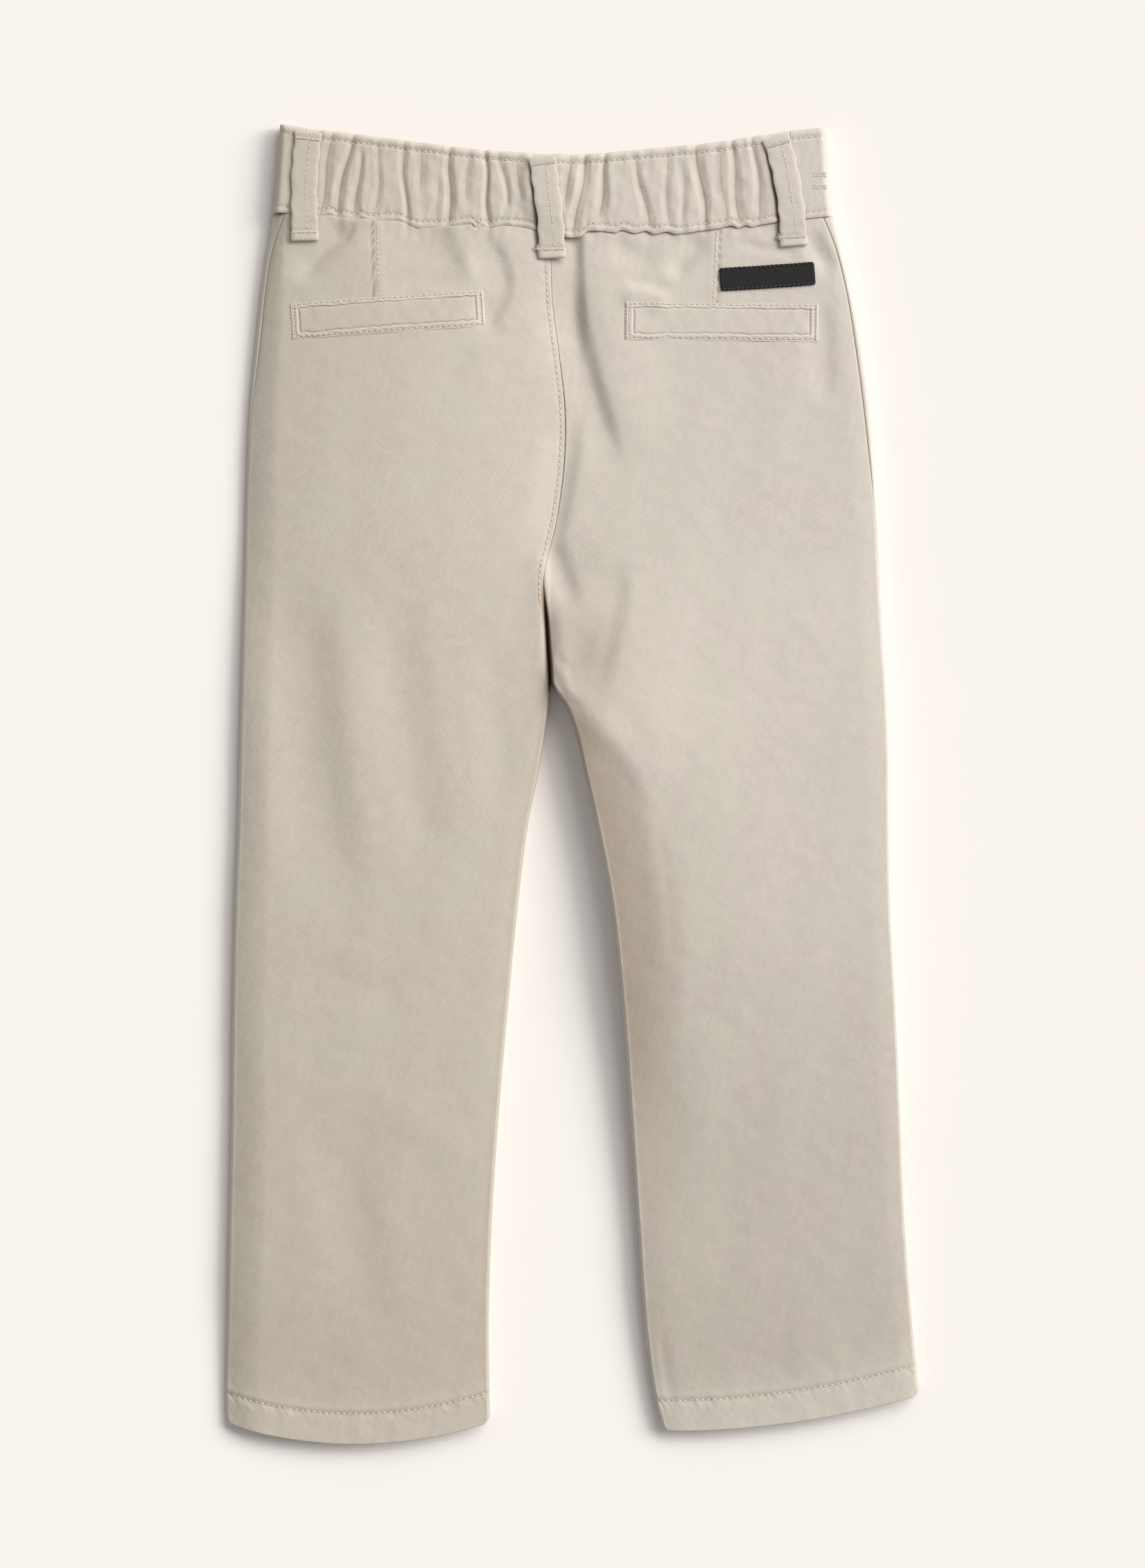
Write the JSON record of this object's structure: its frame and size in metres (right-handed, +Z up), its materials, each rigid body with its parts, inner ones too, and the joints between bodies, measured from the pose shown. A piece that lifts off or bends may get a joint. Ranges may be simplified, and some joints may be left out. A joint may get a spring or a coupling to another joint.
{
  "type": "chino trousers",
  "caption": "Child's straight chino trousers in beige twill, laid flat back up, with an elastic gathered back waist, belt loops, welt pockets and a bare woven patch.",
  "frame": {"origin": "centre of the garment's outline, on the surface that it lies on", "axes": "+Y from the hems to the waist, +Z up out of the back of the garment, +X towards the wearer's right"},
  "size_m": [0.3163, 0.6007, 0.0125],
  "materials": {
    "twill": "matt cotton twill with fine diagonal lines",
    "woven_label": "matt black woven tape",
    "button": "satin horn-coloured plastic"
  },
  "bodies": {
    "root": {"back_leg_left": "twill", "back_leg_right": "twill", "front_leg_left": "twill", "front_leg_right": "twill", "waistband_back": "twill", "waistband_front_left": "twill", "waistband_front_right": "twill", "belt_loop_left": "twill", "belt_loop_centre": "twill", "belt_loop_right": "twill", "pocket_welt_left": "twill", "pocket_welt_right": "twill", "label_patch": "woven_label", "button_front": "button"}
  },
  "joints": []
}
